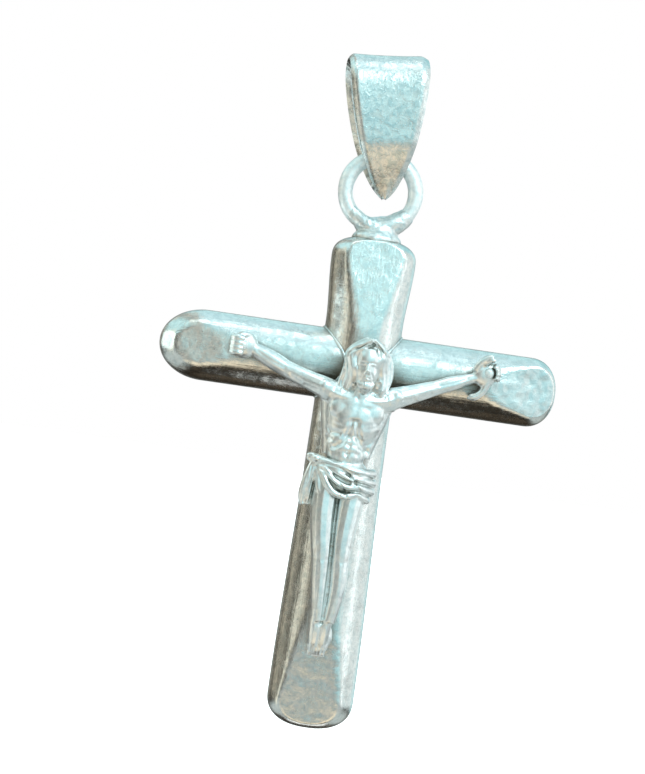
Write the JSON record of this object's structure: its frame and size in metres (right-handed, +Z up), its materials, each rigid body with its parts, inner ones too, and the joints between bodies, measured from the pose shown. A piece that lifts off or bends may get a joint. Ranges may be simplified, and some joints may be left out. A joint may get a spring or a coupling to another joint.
{
  "type": "crucifix pendant",
  "caption": "Silver crucifix pendant: tube cross with flat-faced domed ends, cast corpus, soldered ring and a folded drop bail that swings on it.",
  "frame": {"origin": "where a chain bears on the inside of the bail, at the middle of its crown", "axes": "+Z up the cross as it hangs, +Y from front to back, +X along the arms to the viewer's right"},
  "size_m": [0.0282, 0.0083, 0.0479],
  "materials": {
    "polished_silver": "polished, softly worn",
    "satin_silver": "satin, filed flat",
    "cast_silver": "cast and tumbled",
    "wire_silver": "worn polish",
    "bail_silver": "worn polish"
  },
  "bodies": {
    "bail": {"bail": "bail_silver"},
    "cross": {"upright_tube": "polished_silver", "left_arm_tube": "polished_silver", "right_arm_tube": "polished_silver", "top_face_plate": "satin_silver", "bottom_face_plate": "satin_silver", "left_face_plate": "satin_silver", "right_face_plate": "satin_silver", "top_end_cap": "polished_silver", "bottom_end_cap": "polished_silver", "left_end_cap": "polished_silver", "right_end_cap": "polished_silver", "corpus": "cast_silver", "left_hand_nail": "cast_silver", "right_hand_nail": "cast_silver", "feet_nail": "cast_silver", "suspension_ring": "wire_silver", "ring_solder": "wire_silver"}
  },
  "joints": [
    {"name": "bail_swing", "type": "hinge", "parent": "bail", "child": "cross", "pos_m": [0.00076, 0, -0.00671], "axis": [1, 0, 0], "range_deg": [-50, 50]}
  ]
}
